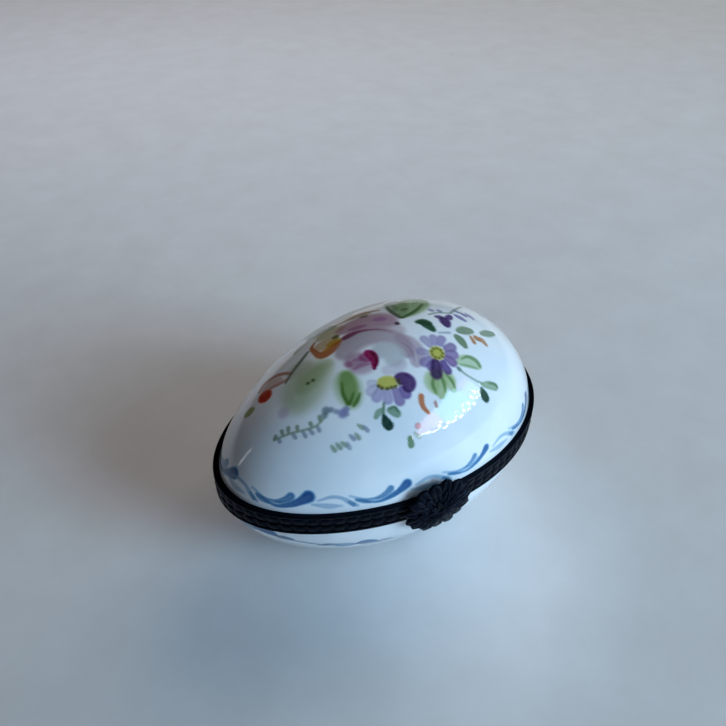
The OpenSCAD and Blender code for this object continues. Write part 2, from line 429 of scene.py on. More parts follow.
@cache
def glazedPorcelain():
    # hard-paste porcelain, dipped in clear glaze and painted with enamels over it:
    # a cool white body under a wet-looking coat, the enamel a hair proud and a little less shiny
    material, tree, where = newMaterial("glazed porcelain with painted enamel")
    pigment = addNode(tree, "Attribute", {"attribute_name": "pigment"})
    cover = addNode(tree, "Attribute", {"attribute_name": "cover"}).outputs["Fac"]
    clouds = addNode(tree, "TexNoise", blotches(9.0, 2), Vector=where)
    clay = addNode(tree, "ValToRGB", {"stops": [(0.35, "#e4eaee"), (0.65, "#eef1f2")]}, Fac=clouds)
    # the wash breaks up a little over 0.6 mm
    streaks = addNode(tree, "TexNoise", blotches(0.6, 3, 0.6), Vector=where)
    thin = addNode(tree, "ValToRGB", {"stops": [(0.3, 0.97), (0.62, 1.0)]}, Fac=streaks)
    amount = addNode(tree, "Math", {"operation": "MULTIPLY"}, in0=cover, in1=thin)
    painted = addNode(tree, "Mix", {"data_type": "RGBA", "blend_type": "MULTIPLY"},
                      Factor=thin, in6=clay, in7=pigment)
    # a speck of iron in the glaze here and there, about 0.15 mm
    specks = addNode(tree, "TexVoronoi", {"Scale": 1 / (7.0 * mm), "Randomness": 1.0}, Vector=where)
    speckMask = addNode(tree, "ValToRGB", {"stops": [(0.011, 0.5), (0.016, 0.0)]}, Fac=specks)
    speckled = addNode(tree, "Mix", {"data_type": "RGBA", 7: linearColour("#6f665a")},
                       Factor=speckMask, in6=painted.outputs[2])
    # the enamel is fired on top: rougher than the glaze
    rough = addNode(tree, "MapRange", {"To Min": 0.14, "To Max": 0.34}, Value=amount)
    # the glaze pulls into long low waves, about 5 mm apart and a few hundredths deep
    waves = addNode(tree, "TexNoise", blotches(5.0, 2, 0.4), Vector=where)
    relief = addNode(tree, "Math", {"operation": "MULTIPLY_ADD", 1: 1.4}, in0=waves, in2=amount)
    bump = addNode(tree, "Bump", {"Strength": 0.35, "Distance": 0.05 * mm}, Height=relief)
    return finished(material, {
        "IOR": 1.5, "Specular IOR Level": 0.1, "Coat Weight": 1.0, "Coat Roughness": 0.035, "Coat IOR": 1.5,
    }, Base_Color=speckled.outputs[2], Roughness=rough, Normal=bump, Coat_Normal=bump)


@cache
def bareBisque():
    # unglazed foot, ground flat and worn on shelves: chalky, faintly grey where it has rubbed
    material, tree, where = newMaterial("bare ground porcelain foot")
    grime = addNode(tree, "TexNoise", blotches(2.5, 6, 0.65), Vector=where)
    tone = addNode(tree, "ValToRGB",
                   {"stops": [(0.35, "#b9b3a8"), (0.55, "#dcd8d0"), (0.8, "#e6e3dc")]}, Fac=grime)
    grain = addNode(tree, "TexNoise", blotches(0.12, 4, 0.7), Vector=where)
    bump = addNode(tree, "Bump", {"Strength": 0.5, "Distance": 0.02 * mm}, Height=grain)
    return finished(material, {"Roughness": 0.75, "IOR": 1.5}, Base_Color=tone, Normal=bump)


@cache
def settingCement():
    # plaster of litharge and glycerine that beds the mount: dull, cream-grey, with fine grit
    material, tree, where = newMaterial("setting cement")
    grit = addNode(tree, "TexNoise", blotches(0.35, 5, 0.7), Vector=where)
    tone = addNode(tree, "ValToRGB", {"stops": [(0.3, "#8e8a80"), (0.7, "#c6c2b6")]}, Fac=grit)
    bump = addNode(tree, "Bump", {"Strength": 0.6, "Distance": 0.05 * mm}, Height=grit)
    return finished(material, {"Roughness": 0.85}, Base_Color=tone, Normal=bump)


brass = {
    # the blue in the bands' and the flower's tones is a painted reflection of the cool window, not the
    # metal's own colour
    "bands": ("#060b17", "#0d1729", "#282f38", 0.5),  # dark, light, worn, roughness
    "flower": ("#070d1a", "#0f1b2f", "#2e3642", 0.46),
    "inner rims": ("#2b2722", "#4a4032", "#8a744a", 0.34),  # handled more, so thinned to brown
    "hinge pin": ("#4a4131", "#75654a", "#a68c58", 0.3),
}


@cache
def blackenedBrass(part):
    # brass blackened in liver of sulphur and waxed: nearly black, rubbed back toward the metal on the high
    # spots;
    # the cold blue sheen of the bands and the flower is a painted reflection in their tones
    dark, light, worn, roughness = brass[part]
    material, tree, where = newMaterial("blackened brass, " + part)
    # the sulphur takes unevenly, in blooms about 1.5 mm across
    bloom = addNode(tree, "TexNoise", blotches(1.5, 5, 0.6), Vector=where)
    body = addNode(tree, "ValToRGB", {"stops": [(0.3, dark), (0.72, light)]}, Fac=bloom)
    wear = addNode(tree, "Attribute", {"attribute_name": "wear"}).outputs["Fac"]
    scuff = addNode(tree, "TexNoise", blotches(0.25, 4, 0.65), Vector=where)
    patchy = addNode(tree, "ValToRGB", {"stops": [(0.42, 0.0), (0.66, 1.0)]}, Fac=scuff)
    amount = addNode(tree, "Math", {"operation": "MULTIPLY"}, in0=wear, in1=patchy)
    colour = addNode(tree, "Mix", {"data_type": "RGBA", 7: linearColour(worn)}, Factor=amount, in6=body)
    rough = addNode(tree, "ValToRGB",
                    {"stops": [(0.3, roughness - 0.08), (0.75, roughness + 0.14)]}, Fac=bloom)
    # casting skin and file marks, about 0.2 mm
    bump = addNode(tree, "Bump", {"Strength": 0.4, "Distance": 0.02 * mm}, Height=scuff)
    return finished(material, {"Metallic": 0.92},
                    Base_Color=colour.outputs[2], Roughness=rough, Normal=bump)


def outlineTurns(count, outset=0.4):
    # angles at which the band's outline is cut into equal lengths
    t = np.linspace(0, 2 * math.pi, 7201)
    x = np.cos(t) * (egg["length"] / 2 + outset)
    run = runAlong(x, np.sign(np.sin(t)) * eggRadius(x, outset))
    return np.interp(np.linspace(0, run[-1], count + 1)[:-1], run, t), run[-1]


def outlinePoint(t, outset, z, follow=False):
    # a plan outline with upright walls, or one that follows the egg's own surface at that height
    half = egg["length"] / 2 + outset
    height = z - axisZ if follow else 0.0
    fine = np.linspace(-1, 1, 4001)
    inside = fine[eggRadius(fine * half, outset) >= abs(height)]
    low, high = inside[0], inside[-1]
    x = ((low + high) / 2 + (high - low) / 2 * np.cos(t)) * half
    r = eggRadius(x, outset)
    y = np.sqrt(np.clip(r * r - height * height, 0, None)) * np.where(np.sin(t) >= 0, 1, -1)
    return np.stack(np.broadcast_arrays(x, y, z), -1)


def wallPoint(t, outset):
    # the upright outline again, for whole arrays of angles and outsets
    y = (egg["width"] / 2 + outset) * eggProfile(np.cos(t)) / widest * np.where(np.sin(t) >= 0, 1, -1)
    return (egg["length"] / 2 + outset) * np.cos(t), y


def sweepSection(turns, section, closed=True):
    # section: a closed list of (outset, z, follow) taken round the outline
    points = np.stack([outlinePoint(turns, *corner) for corner in section], 1)
    n, m = points.shape[:2]
    faces = []
    for i in range(n if closed else n - 1):
        for j in range(m):
            near, far, after = i * m, (i + 1) % n * m, (j + 1) % m
            faces.append((near + j, near + after, far + after, far + j))
    if not closed:
        faces.append(tuple(range(m))[::-1])
        faces.append(tuple((n - 1) * m + j for j in range(m)))
    return points.reshape(-1, 3), faces


band = {
    "seam": 0.05,  # half the gap between the closed halves
    "height": 2.1,
    "cement": 0.1,
    "strip": 0.4,
    "lip": 0.18,
    "rail": 0.72,
    "railHeight": 0.55,
    "rimThick": 0.4,
    "rimInset": 3.1,
    "beads": 80,
    "beadHalf": 0.9,  # half of a bead's length along the band
    "beadLow": 0.12,
    "beadHigh": 1.45,
    "beadRise": 0.26,
    "beadRoot": 0.5,
    "hingeHalf": 6.4,  # the beads stop short of the hinge and of the clasp
    "claspHalf": 1.9,
}
bandTurns, bandLength = outlineTurns(360)


def makeMount(name, part, side, section, wearAt, material):
    # section: outset, height above the split and follow, drawn for the lid and turned over for the base
    way = 1 if side == "lid" else -1
    corners = [(o, splitZ + way * z, follow) for o, z, follow in section][::way]
    points, faces = sweepSection(bandTurns, corners)
    wear = np.tile([wearAt(o) for o, z, follow in corners], len(bandTurns))
    makeFitting(side + name, [(points, faces, wear)], side + "_" + part, side, material, 38)


def makeBand(side):
    low, strip, rail, cement = (band[key] for key in ("seam", "strip", "rail", "cement"))
    top = low + band["height"]
    railLow = top - band["railHeight"]
    section = [(cement, low), (strip - 0.05, low), (strip, low + 0.05), (strip, railLow - 0.06)]
    for k in range(9):  # the half-round rail
        a = math.radians(-80 + 160 * k / 8)
        section.append((strip + 0.04 + (rail - strip - 0.04) * math.cos(a) ** 0.7,
                        (railLow + top) / 2 + band["railHeight"] / 2 * math.sin(a)))
    section = [(o, z, False) for o, z in section]
    # a lip turned in over the cement to meet the porcelain
    section += [(strip - 0.1, top, False), (0.03, top, True), (0.03, top - band["lip"], True),
                (cement, top - band["lip"], False)]
    makeMount("BandStrip", "band", side, section, lambda o: 1.0 if o > strip + 0.2 else 0.1,
              blackenedBrass("bands"))


def makeRimRing(side):
    low, outer, inner = band["seam"], band["cement"], -band["rimInset"]
    top = low + band["rimThick"]
    section = [(outer, top), (outer, low), (inner + 0.12, low), (inner + 0.04, low + 0.05),
               (inner, low + 0.14), (inner, top - 0.14), (inner + 0.04, top - 0.05), (inner + 0.12, top)]
    makeMount("RimRing", "rim_ring", side, [(o, z, False) for o, z in section],
              lambda o: 1.0 if o < inner + 0.2 else 0.25, blackenedBrass("inner rims"))


def makeCement(side):
    low, top, outer = band["seam"] + band["rimThick"], band["height"] - 0.2, band["cement"]
    section = [(outer, low, False), (outer, top - 0.05, False), (outer - 0.06, top, False)]
    section += [(0.0, top - (top - low) * k / 6, True) for k in range(7)]
    makeMount("CementBed", "cement_bed", side, section, lambda o: 0.0, settingCement())


hinge = next(j for j in frame["joints"] if j["name"] == "lid_hinge")
flex = next(j for j in frame["joints"] if j["name"] == "clasp_flex")
clasp = {
    "tongueOff": 0.6,  # from the strip's face to the tongue's back
    "width": 13.0,
    "high": 11.6,
    "petalThick": 0.28,
    "flute": 0.16,  # depth of the groove down a petal
    # rings of petals: count, reach as a share of half the width, half width, where they start,
    # heights of base, crest and tip, drop of every other petal, twist
    "outer": (15, 1, 1.35, 1.2, 1.15, 1.75, 0.75, 0.18, 0.1),
    "middle": (13, 0.7, 1.0, 0.4, 1.75, 2.05, 1.55, 0.1, 0.35),
    "small": (10, 0.42, 0.66, 0.15, 2.1, 2.4, 2.0, 0.06, 0),
}
claspTurn = math.atan2(-flex["axis"][1], -flex["axis"][0])
acrossClasp = np.array([math.cos(claspTurn), math.sin(claspTurn), 0])
outOfClasp = np.array([math.sin(claspTurn), -math.cos(claspTurn), 0])
claspOrigin = np.array(flex["pos_m"]) / mm - outOfClasp * clasp["tongueOff"]
claspOrigin[2] = splitZ
hingeX = hinge["pos_m"][0] / mm


def clearOfFittings(x, y):
    if y > 0:
        return abs(x - hingeX) > band["hingeHalf"]
    return abs(x - claspOrigin[0]) > band["claspHalf"]


def makeBeadWire(side):
    # round-cornered bosses on a narrow backing, left out at the hinge and behind the clasp
    sign = 1 if side == "lid" else -1
    low, high, root = band["beadLow"], band["beadHigh"], band["beadRoot"]
    fine, _ = outlineTurns(band["beads"] * 6)
    keep = [clearOfFittings(p[0], p[1]) for p in outlinePoint(fine, band["strip"], splitZ)]
    runs, current = [], []
    for i in np.roll(np.arange(len(fine)), -keep.index(False)):
        if keep[i]:
            current.append(i)
        elif current:
            runs.append(current)
            current = []
    runs.append(current)
    corners = [(band["strip"], low), (root, low), (root, high), (band["strip"], high)]
    section = [(o, splitZ + sign * (band["seam"] + z), False) for o, z in corners]
    parts = [(*sweepSection(fine[run], section, closed=False), 0) for run in runs if run]
    across, up = 12, 10
    a, b = np.meshgrid(np.linspace(-1, 1, across + 1), np.linspace(-1, 1, up + 1), indexing="ij")
    swell = (np.clip(1 - np.abs(a) ** 2.6, 0, 1) * np.clip(1 - np.abs(b) ** 2.6, 0, 1)) ** 0.6
    z = splitZ + sign * (band["seam"] + (low + high) / 2 + b * (high - low) / 2)
    lengths = np.linspace(0, bandLength, len(fine) + 1)
    nearHalf = band["beadHalf"] * 0.6
    for k, centre in enumerate(outlineTurns(band["beads"])[0]):
        x, y = wallPoint(centre, band["strip"])
        if clearOfFittings(x - nearHalf, y) and clearOfFittings(x + nearHalf, y):
            run = (k * bandLength / band["beads"] + a * band["beadHalf"]) % bandLength
            turn = np.interp(run, lengths, np.append(fine, 2 * math.pi))
            x, y = wallPoint(turn, root - 0.05 + (band["beadRise"] + 0.05) * swell)
            faces = gridFaces(across, up) + [tuple(gridRing(across, up))]
            parts.append((np.stack([x, y, z], -1).reshape(-1, 3), faces, swell.ravel() ** 3))
    metal = blackenedBrass("bands")
    makeFitting(side + "BeadWire", parts, side + "_bead_wire", side, metal, 50)


def claspPoint(across, up, out):
    across, up, out = np.broadcast_arrays(across, up, out)
    return (claspOrigin + across[..., None] * acrossClasp + out[..., None] * outOfClasp
            + up[..., None] * np.array([0, 0, 1.0]))


def petalRing(count, reach, half, start, base, crest, tip, drop, twist):
    # petals set round a centre, each with a groove down its middle and a rounded, drooping tip
    parts = []
    along, across = 12, 12
    oval = clasp["high"] / clasp["width"]
    s, w = np.meshgrid(np.linspace(0, 1, along + 1), np.linspace(-1, 1, across + 1), indexing="ij")
    radius = start + (reach * clasp["width"] / 2 - start) * s
    width = half * (0.35 + 0.65 * np.sin(math.pi * np.clip(s * 0.62, 0, 1))) \
        * np.sqrt(np.clip(1 - np.clip((s - 0.72) / 0.2801, 0, 1) ** 2.2, 0, 1))
    height = base + (crest - base) * np.sin(math.pi * np.clip(s * 0.8, 0, 1)) ** 0.8
    height = height + (tip - base) * smoothStep(0.6, 1.0, s)
    flute = clasp["flute"] * np.cos(2 * math.pi * w) * smoothStep(0.05, 0.35, s)
    flute = flute * (1 - 0.5 * smoothStep(0.75, 1, s))
    thick = clasp["petalThick"] * np.clip(1 - w ** 4, 0, 1) * np.clip(1 - s ** 8, 0, 1) + 0.02
    crown = np.clip(1 - np.abs(np.abs(w) - 0.5) * 3, 0, 1) * smoothStep(0.25, 0.6, s)
    n = s.size
    ring = gridRing(along, across)
    faces = gridFaces(along, across) + gridFaces(along, across, n, True)
    faces += [(a, b, n + b, n + a) for a, b in zip(ring, ring[1:] + ring[:1])]
    for k in range(count):
        angle = 2 * math.pi * k / count + twist
        ca, sa = math.cos(angle), math.sin(angle)
        x, y = radius * ca - w * width * sa, (radius * sa + w * width * ca) * oval
        top = height - 0.3 * w * w - flute - (drop if k % 2 else 0)
        points = [claspPoint(x, y, out).reshape(-1, 3) for out in (top, top - thick)]
        parts.append((np.vstack(points), faces, np.append(crown.ravel(), np.zeros(n))))
    return joined(parts)


def dome(radius, base, rise, rings, sides, wear=0, dimples=0, oval=1):
    points, faces = [claspPoint(0, 0, base + rise)], []
    for f in np.linspace(0, 1, rings + 1)[1:]:
        for j in range(sides):
            a = 2 * math.pi * j / sides
            pit = 0.08 * math.cos(dimples * a) * math.sin(math.pi * f) if dimples else 0
            out = base + rise * math.cos(math.pi / 2 * f) + pit
            points.append(claspPoint(radius * f * math.cos(a), radius * f * math.sin(a) * oval, out))
    for j in range(sides):
        faces.append((0, 1 + j, 1 + (j + 1) % sides))
        for i in range(rings - 1):
            a, b = 1 + i * sides + j, 1 + i * sides + (j + 1) % sides
            faces.append((a, a + sides, b + sides, b))
    faces.append(tuple(1 + (rings - 1) * sides + j for j in range(sides)))
    return np.array(points), faces, wear


def makeFlower():
    backPlate = dome(clasp["width"] / 2 * 0.78, 0.92, 0.35, 6, 40, oval=clasp["high"] / clasp["width"])
    rivet = [dome(0.5, 2.35, 0.35, 8, 32, 0.4, 5), dome(0.55, 0.62, 1.75, 4, 24)]
    for name, parts in (("OuterPetals", [petalRing(*clasp["outer"]), backPlate]),
                        ("InnerPetals", [petalRing(*clasp["middle"]), petalRing(*clasp["small"])]),
                        ("Rivet", rivet)):
        node = "clasp_" + name.replace("Petals", "_petals").lower()
        makeFitting("clasp" + name, parts, node, "clasp", blackenedBrass("flower"))


# the painting is in x along the egg (mm) and turn about it (degrees, 0 front, 90 top)

def paintRose(canvas):
    # a blown rose in mauve washes, its heart turned to the front
    stroke = canvas.stroke
    stroke([(-8.2, 90), (-6, 93), (-3.4, 93.5), (-1, 90.5), (0.9, 85.5), (1.6, 79), (0.9, 72)],
           [1.2, 2, 2.2, 2, 1.6, 1.4, 1], "#ab97a1", 0.88, 0.45)
    stroke([(-8.3, 84.5), (-6.9, 83.5), (-5.6, 82)], [0.9, 1.5, 1.1], "#ab8698", 0.85, 0.5)
    stroke([(-8.2, 80.6), (-6.8, 79.2), (-5.5, 77.4)], [0.8, 1.5, 1], "#b08d9c", 0.72, 0.55)
    stroke([(-4.6, 107), (-2.4, 105), (0.2, 102.5), (2.4, 98.5), (3.3, 94)],
           [1, 1.9, 2.3, 2.3, 1.2], "#a87c8c", 0.88, 0.5)
    stroke([(0.6, 96), (2.4, 91), (3.2, 85)], [0.9, 1.4, 0.8], "#b8a3ac", 0.6, 0.7)
    stroke([(-3.4, 103.6), (-2, 101.9), (-0.5, 100.2)], [0.25, 0.6, 0.3], "#9a6382", 0.75, 0.6)
    stroke([(1.4, 101), (2.5, 99.6), (3.1, 97.5)], [0.4, 0.75, 0.4], "#a269a0", 0.7, 0.6)
    stroke([(1.8, 84), (2.6, 78), (2.6, 72), (1, 66.5)], [0.9, 1.4, 1.4, 0.8], "#b79fac", 0.8, 0.45)
    for x, strength in ((1.6, 0.35), (2.5, 0.22), (0.8, 0.2)):
        stroke([(x, 80), (x + 0.4, 74.5), (x - 0.4, 68.5)], [0.12, 0.24, 0.12], "#9a7c94", strength, 0.6, 0)
    # the rose's white heart is laid in pale grey: painted shade, darkening the top of the lid where less
    # light falls
    stroke([(-3.6, 80.8), (-2, 80.8), (-1, 76.8), (-2.2, 72)], [1, 1.8, 1.9, 1.4], "#cfd1d3", 0.93, 0.35, 0)
    stroke([(-4.4, 71.5), (-2.4, 69.5), (-0.4, 70.5)], [0.7, 1, 0.7], "#cdbfca", 0.6, 0.6)
    for points in ([(-8.3, 80), (-6.8, 79.5), (-5.6, 78)], [(-7.4, 84.5), (-6.4, 83), (-5.6, 81)]):
        stroke(points, [0.2, 0.4, 0.2], "#9f5f86", 0.5, 0.7, 0)
    stroke([(-8.5, 84.6), (-8, 83)], [0.5, 0.6], "#a25878", 0.7, 0.7)
    stroke([(-5.9, 84), (-5.4, 81.8), (-5.2, 80)], [0.45, 0.75, 0.45], "#a04a78", 0.85, 0.5)
    stroke([(-4.7, 84.6), (-4.3, 82), (-4.5, 78.5), (-5.5, 74.5)],
           [0.52, 0.84, 0.7, 0.22], "#9c1450", 1, 0.3, 0.1)
    stroke([(-4, 83.5), (-3.9, 80.5), (-4.4, 77), (-5.5, 74.3)],
           [0.22, 0.38, 0.34, 0.14], "#6d0a38", 0.9, 0.4, 0)
    stroke([(-5.6, 99.9), (-4.2, 99.6), (-2.3, 98.2), (-0.4, 94.8), (1, 91), (2.1, 86.8)],
           [0.5, 0.6, 0.36, 0.24, 0.22, 0.2], "#74334d", 0.98, 0.5, 0.1, (1, 0.05))
    canvas.dot(3.9, 91.4, 0.42, "#33222f", 0.95, 0.35)


def paintYellow(canvas):
    # two small yellow blooms edged with burnt orange, tucked behind the rose
    stroke = canvas.stroke
    stroke([(-7.9, 112.8), (-5.7, 111), (-3.4, 108.5)], [0.8, 1.5, 0.9], "#b5ad88", 0.9, 0.5)
    stroke([(-9.5, 106.5), (-8.1, 104.3), (-6.4, 103)], [0.9, 1.5, 1.1], "#c2a47a", 0.9, 0.4)
    stroke([(-8.2, 102.2), (-7, 101.6), (-6, 101.2)], [0.5, 0.8, 0.6], "#b98f30", 0.95, 0.55)
    stroke([(-8.7, 112.5), (-10.1, 109.7), (-10.5, 103.8), (-10.3, 99.2), (-9.1, 97.6), (-7.5, 98.2),
            (-5.9, 99.9)],
           [0.15, 0.35, 0.5, 0.78, 0.72, 0.6, 0.35], "#a8552c", 0.95, 0.4)
    stroke([(-9.6, 101), (-8.2, 100.2), (-6.6, 100.8)], [0.2, 0.35, 0.25], "#c97a24", 0.75, 0.6, 0)
    stroke([(-6.4, 105.4), (-5.4, 104.3)], [0.5, 0.55], "#4d4d28", 0.9, 0.5)
    stroke([(-0.8, 114.5), (1.2, 112.3), (2.8, 109.5)], [0.9, 1.2, 0.8], "#b8a592", 0.8, 0.5)
    stroke([(0.6, 109), (1.8, 107.6)], [0.4, 0.45], "#55532f", 0.9, 0.5)
    stroke([(-4, 115.5), (-1.2, 113.6), (0.8, 113), (3, 110.6), (4.6, 107.5)],
           [0.2, 0.34, 0.36, 0.36, 0.2], "#946d58", 0.75, 0.6)


def paintBigLeaves(canvas):
    # thin yellow-green washes, wetter toward the middle
    stroke = canvas.stroke
    stroke([(-18.8, 83.5), (-16.2, 88.5), (-13.4, 91), (-10.4, 91.5)],
           [1.8, 3.2, 2.5, 0.8], "#a8b388", 0.78, 0.7)
    stroke([(-16.8, 88), (-14.4, 91), (-11.4, 91.8)], [0.9, 1.6, 0.6], "#8f9f6c", 0.5, 0.8)
    stroke([(-16, 103.5), (-14.4, 102.5), (-12.8, 99)], [1, 1.5, 0.8], "#b3b59a", 0.6, 0.8)
    for x, turn in ((-15.2, 89.3), (-14.3, 88.7)):
        canvas.dot(x, turn, 0.3, "#46562c", 0.9, 0.6)
    # the one behind the rose spreads over the top, its point toward the front
    stroke([(5.6, 94), (6.7, 99.5), (8, 106), (8.8, 112.5)], [0.4, 1.5, 2.1, 1.5], "#94a68f", 0.9, 0.3)
    stroke([(5.8, 94), (8.6, 98.6), (11.2, 103.6), (13.4, 108)], [0.4, 2.1, 2.7, 1.6], "#85a16b", 0.9, 0.3)
    stroke([(6.5, 109), (5.8, 104), (5.5, 98.5), (5.5, 93.8)], [0.2, 0.38, 0.45, 0.32], "#4f5540", 0.9, 0.5)
    stroke([(5.6, 93.7), (8.2, 94.9), (10.4, 97.3), (12.6, 101.2)],
           [0.25, 0.38, 0.32, 0.15], "#4b6436", 0.85, 0.5, 0)
    stroke([(6.4, 101), (7.2, 104.5), (7.6, 108)], [0.3, 0.55, 0.3], "#6a7f55", 0.7, 0.7, 0)
    stroke([(7.4, 99.6), (8.6, 100.2)], [0.42, 0.42], "#4c6230", 0.85, 0.6)
    # the one hanging under the rose
    stroke([(-10, 80.5), (-10.6, 75.5), (-11.1, 70), (-11.6, 64.5)],
           [1.1, 2, 1.95, 1], "#aec197", 0.85, 0.45, 0.1)
    stroke([(-9.7, 80.5), (-10.3, 76), (-11, 70.5), (-11.9, 65.8)],
           [0.8, 1.35, 1.2, 0.35], "#7d9e55", 0.85, 0.45, 0.1)
    for points, widths in (
            ([(-11.1, 77.5), (-12, 72), (-12.3, 65.7)], [0.12, 0.28, 0.32]),
            ([(-10.5, 69.6), (-11.4, 67.4), (-12.2, 65.4)], [0.1, 0.24, 0.3]),
            ([(-9.7, 67.8), (-10.7, 65.4), (-11.8, 63.8)], [0.12, 0.3, 0.22])):
        stroke(points, widths, "#4d7029", 0.8, 0.5, 0)
    # dull green strokes round the far edge
    stroke([(-8.6, 121.5), (-7, 119.6), (-5.2, 118), (-3.6, 114.8)],
           [0.6, 1, 1.1, 0.5], "#6f7f6c", 0.85, 0.5)
    stroke([(-8, 128), (-5, 128.5), (-1.2, 128), (2.6, 127)], [1.1, 2.1, 2.2, 1.2], "#73766a", 0.85, 0.6)
    stroke([(-0.6, 123), (2.6, 122.5), (5.4, 121), (7.8, 118)], [0.6, 1.2, 1.3, 0.7], "#7d8275", 0.85, 0.6)
    stroke([(-4.4, 121), (-1.8, 119.5), (1, 118.5)], [0.5, 0.9, 0.5], "#a8a291", 0.7, 0.6)
    stroke([(-10.9, 109.2), (-12.4, 107.4), (-13.9, 105.8), (-16, 103.5), (-17.6, 101)],
           [0.25, 0.36, 0.36, 0.3, 0.2], "#717c6b", 0.9, 0.5, 0)
    stroke([(-12.5, 118), (-10.4, 119.5), (-8.4, 119)], [0.3, 0.6, 0.3], "#8b9789", 0.7, 0.6, 0)


def paintDaisies(canvas):
    # the lower one shows only the petals that hang clear of the rose
    stroke = canvas.stroke
    for points, half, hexColour, strength in (
            ([(-6.6, 68.5), (-8.1, 69.6)], 0.9, "#c4bad0", 0.6),
            ([(-6.8, 66.6), (-8.9, 65.4)], 1, "#b9aecb", 0.7),
            ([(-6.3, 65), (-8.5, 60.8)], 1, "#a99cc0", 0.88),
            ([(-5.6, 63.4), (-6.8, 56.8)], 1, "#a79ac0", 0.88),
            ([(-4.6, 61.6), (-4.9, 53.6)], 0.98, "#87719f", 0.92),
            ([(-3.6, 61), (-3.1, 55)], 0.92, "#6f5590", 0.95)):
        stroke(points, [half * 0.5, half], hexColour, strength, 0.35, 0.3)
    stroke([(-3.4, 65.2), (-2.3, 63.8), (-1.9, 61), (-2.8, 58.4)],
           [0.7, 1.1, 1.2, 0.8], "#4b2f62", 1, 0.25, 0.2)
    stroke([(-6.2, 67), (-5.1, 65.9), (-3.9, 64.5)], [0.75, 1.15, 0.8], "#d6cc64", 1, 0.25, 0)
    for x, turn in (
            (-6.6, 66.3), (-6.3, 64.6), (-5.6, 63.2), (-4.9, 62.7), (-4.2, 62.3), (-3.4, 62.6),
            (-3.2, 64.2)):
        canvas.dot(x, turn, 0.27, "#4d4c1c", 0.85, 0.5)
    for points, half, hexColour, strength in (
            ([(5.6, 71.6), (5.5, 78.4)], 0.95, "#a69abd", 0.88),
            ([(6.5, 71.6), (7.5, 77)], 0.85, "#9d90b8", 0.9),
            ([(7.2, 70.4), (9.1, 74.4)], 0.88, "#9484ae", 0.92),
            ([(7.6, 68), (10, 67.2)], 1.05, "#83709a", 0.95),
            ([(7.2, 65.8), (9.3, 62.6)], 1.05, "#866f9e", 0.95),
            ([(6.6, 64.4), (7.8, 58.8)], 0.95, "#755a8e", 0.95),
            ([(4.3, 66.8), (1.8, 65.8)], 1, "#8b78a6", 0.92),
            ([(4.4, 69.4), (2.7, 72.8)], 0.95, "#a598ba", 0.88),
            ([(3.9, 65), (2.6, 61.8)], 0.85, "#7b6698", 0.92),
            ([(5.7, 63.4), (5.6, 56.4)], 0.85, "#5b4480", 0.98),
            ([(4.6, 65), (4, 61.5), (2.9, 57.6)], 1, "#3a2450", 1)):
        stroke(points, [half * 0.55] + [half] * (len(points) - 1), hexColour, strength, 0.35, 0.3)
    canvas.dot(5.8, 67.6, 1.35, "#cfc85f", 1, 0.25, 0)
    for k in range(9):
        canvas.dot(*nearby(5.8, 67.6, *circlePoint(1, 40 * k + 15)), 0.26, "#66641f", 0.7, 0.5)


def paintFlorets(canvas):
    # small purple buds and ferny strokes at the blunt end
    for points, half, hexColour, strength in (
            ([(11.4, 87.4), (12.6, 85.2)], 0.75, "#5d4878", 0.95),
            ([(14.6, 85.8), (13.2, 83.4)], 0.85, "#523a70", 0.97),
            ([(12.5, 85), (12.2, 82.5), (11.7, 78.8)], 1, "#412a5a", 1),
            ([(12, 94.5), (12.4, 91.5)], 0.7, "#8c8dab", 0.75),
            ([(13.5, 92.5), (13.6, 89.5)], 0.65, "#8a83ac", 0.8),
            ([(15.7, 86), (16.2, 83), (16.7, 79.6)], 0.55, "#7a6da2", 0.9),
            ([(18.8, 87), (19.1, 84), (19.2, 80.4)], 0.5, "#8a80ae", 0.85),
            ([(17.6, 87.8), (18.2, 83.4)], 0.5, "#6f6398", 0.9),
            ([(16.8, 90), (17.4, 87.6)], 0.45, "#6f6c8c", 0.85),
            ([(23.1, 87.8), (23.7, 85.6)], 0.5, "#8b9690", 0.8),
            ([(12.8, 74.6), (14.4, 73.8), (16.1, 72.4)], 0.98, "#7e9272", 0.97),
            ([(17.5, 69.6), (19.4, 69), (21.6, 68.6)], 0.8, "#889a80", 0.95),
            ([(11.6, 72.6), (11.9, 69), (11.9, 64.6)], 0.82, "#6a815f", 0.97),
            ([(14.6, 69.8), (14.4, 64.8)], 0.5, "#b97a52", 0.95),
            ([(15.5, 69.2), (15.7, 67.6), (16.2, 65.4)], 0.52, "#b87950", 0.95),
            ([(16.4, 67.4), (16.7, 65), (16.9, 61.8)], 0.55, "#bf8660", 0.95),
            ([(7, 87.6), (8.3, 86), (9.2, 83.4)], 0.8, "#2f5036", 1),
            ([(7.6, 87), (8.3, 83), (8.5, 78.8)], 0.85, "#22462c", 1),
            ([(8.9, 77), (11.1, 74.8)], 0.3, "#93a0b0", 0.65)):
        canvas.stroke(points, [half * 0.5, half, half * 0.5][:len(points)], hexColour, strength, 0.35, 0.2)
    sprig(canvas, [(15.1, 87.5), (17, 90.5), (18.4, 92.5), (20.6, 96)], 0.22, "#78857e", 0.75)
    sprig(canvas, [(10.6, 90), (12.5, 90), (15.1, 87.7)], 0.18, "#76847a", 0.65)


